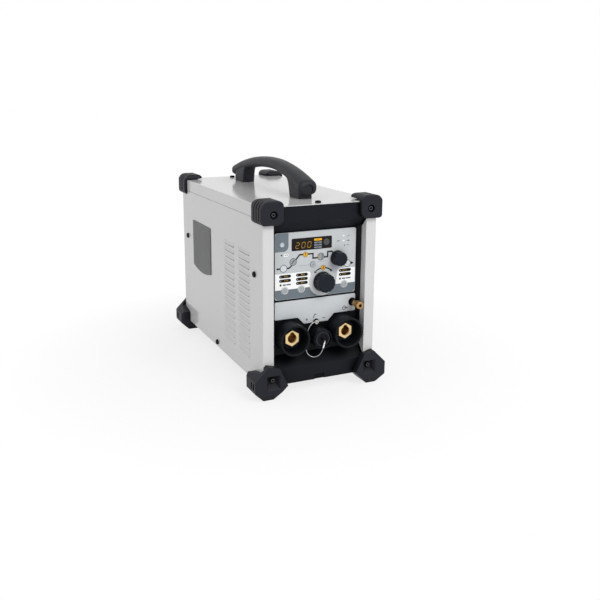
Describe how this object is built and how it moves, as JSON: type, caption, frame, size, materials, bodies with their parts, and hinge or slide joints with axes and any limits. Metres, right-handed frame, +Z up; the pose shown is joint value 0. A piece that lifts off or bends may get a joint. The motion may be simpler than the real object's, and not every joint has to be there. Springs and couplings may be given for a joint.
{
  "type": "tig welding power source",
  "caption": "Portable inverter TIG welding power source with a sheet-metal casing, corner bumpers, carry handle, recessed control panel, weld sockets and a rear fan.",
  "frame": {"origin": "on the floor, under the middle of the box", "axes": "+X to the right seen from the front, +Y to the rear, +Z up"},
  "size_m": [0.245, 0.456, 0.379],
  "materials": {
    "casing_paint": "light grey semi-gloss powder coat",
    "fascia_plastic": "blue-black moulded plastic with a fine grain",
    "corner_plastic": "dark grey impact plastic",
    "handle_plastic": "dark grey grained plastic",
    "black_screws": "blackened steel",
    "badge_paint": "dark grey plate",
    "panel_overlay": "printed light grey overlay",
    "plate_overlay": "plain light grey overlay",
    "window_plastic": "smoked display window",
    "knob_plastic": "satin black",
    "button_plastic": "light grey domes",
    "board_laminate": "green circuit board",
    "encoder_plastic": "moulded",
    "socket_plastic": "black insulating plastic",
    "brass": "turned brass",
    "copper": "copper",
    "steel": "bare steel",
    "hose_rubber": "black gas hose",
    "potting_resin": "potted resin",
    "ferrite": "sintered ferrite",
    "aluminium": "extruded",
    "module_plastic": "moulded",
    "capacitor_sleeve": "shrunk sleeve",
    "fan_plastic": "moulded",
    "switch_plastic": "moulded"
  },
  "bodies": {
    "casing": {"base_tray": "casing_paint", "left_side_panel": "casing_paint", "right_side_panel": "casing_paint", "top_cover": "casing_paint", "front_fascia": "fascia_plastic", "rear_panel": "fascia_plastic", "bumper_front_left": "corner_plastic", "bumper_front_right": "corner_plastic", "bumper_rear_left": "corner_plastic", "bumper_rear_right": "corner_plastic", "foot_front_left": "corner_plastic", "foot_front_right": "corner_plastic", "foot_rear_left": "corner_plastic", "foot_rear_right": "corner_plastic", "corner_screws": "black_screws", "casing_screws": "black_screws", "carry_handle": "handle_plastic", "side_badge": "badge_paint", "control_panel": "panel_overlay", "display_window": "window_plastic", "control_board": "board_laminate", "main_encoder": "encoder_plastic", "select_encoder": "encoder_plastic", "name_plate": "plate_overlay", "left_socket_collar": "socket_plastic", "right_socket_collar": "socket_plastic", "left_socket_contact": "brass", "right_socket_contact": "brass", "socket_nuts": "socket_plastic", "busbars": "copper", "remote_connector": "socket_plastic", "cap_lanyard": "steel", "lanyard_screw": "steel", "gas_outlet": "brass", "gas_hose": "hose_rubber", "gas_valve": "steel", "gas_inlet": "brass", "output_inductor": "copper", "ignition_coil": "potting_resin", "transformer_core": "ferrite", "transformer_winding": "copper", "heat_sink": "aluminium", "power_modules": "module_plastic", "power_board": "board_laminate", "capacitors": "capacitor_sleeve", "fan_frame": "fan_plastic", "fan_guard": "fan_plastic", "mains_switch": "switch_plastic", "cable_gland": "switch_plastic"},
    "main_knob": {"main_knob": "knob_plastic"},
    "select_knob": {"select_knob": "knob_plastic"},
    "mode_button": {"mode_button": "button_plastic"},
    "trigger_button": {"trigger_button": "button_plastic"},
    "process_button": {"process_button": "button_plastic"},
    "cycle_button": {"cycle_button": "button_plastic"},
    "display_button": {"display_button": "button_plastic"},
    "standby_button": {"standby_button": "button_plastic"},
    "fan_rotor": {"fan_rotor": "fan_plastic"},
    "switch_rocker": {"switch_rocker": "switch_plastic"},
    "dust_cap": {"dust_cap": "socket_plastic"}
  },
  "joints": [
    {"name": "main_knob_turn", "type": "hinge", "parent": "casing", "child": "main_knob", "pos_m": [0.012, -0.195, 0.1854], "axis": [0, -1, 0], "continuous": true},
    {"name": "select_knob_turn", "type": "hinge", "parent": "casing", "child": "select_knob", "pos_m": [0.0396, -0.195, 0.2236], "axis": [0, -1, 0], "continuous": true},
    {"name": "mode_press", "type": "slide", "parent": "casing", "child": "mode_button", "axis": [0, 1, 0], "range_m": [0, 0.0008], "stiffness_N_per_m": 1500},
    {"name": "trigger_press", "type": "slide", "parent": "casing", "child": "trigger_button", "axis": [0, 1, 0], "range_m": [0, 0.0008], "stiffness_N_per_m": 1500},
    {"name": "process_press", "type": "slide", "parent": "casing", "child": "process_button", "axis": [0, 1, 0], "range_m": [0, 0.0008], "stiffness_N_per_m": 1500},
    {"name": "cycle_press", "type": "slide", "parent": "casing", "child": "cycle_button", "axis": [0, 1, 0], "range_m": [0, 0.0008], "stiffness_N_per_m": 1500},
    {"name": "display_press", "type": "slide", "parent": "casing", "child": "display_button", "axis": [0, 1, 0], "range_m": [0, 0.0008], "stiffness_N_per_m": 1500},
    {"name": "standby_press", "type": "slide", "parent": "casing", "child": "standby_button", "axis": [0, 1, 0], "range_m": [0, 0.0008], "stiffness_N_per_m": 1500},
    {"name": "fan_spin", "type": "hinge", "parent": "casing", "child": "fan_rotor", "pos_m": [0, 0.185, 0.225], "axis": [0, 1, 0], "continuous": true},
    {"name": "rocker_tip", "type": "hinge", "parent": "casing", "child": "switch_rocker", "pos_m": [-0.055, 0.2036, 0.09], "axis": [1, 0, 0], "range_deg": [0, 22]},
    {"name": "cap_pull", "type": "slide", "parent": "casing", "child": "dust_cap", "axis": [0, -1, 0], "range_m": [0, 0.018], "deforming": ["cap_lanyard"]}
  ]
}
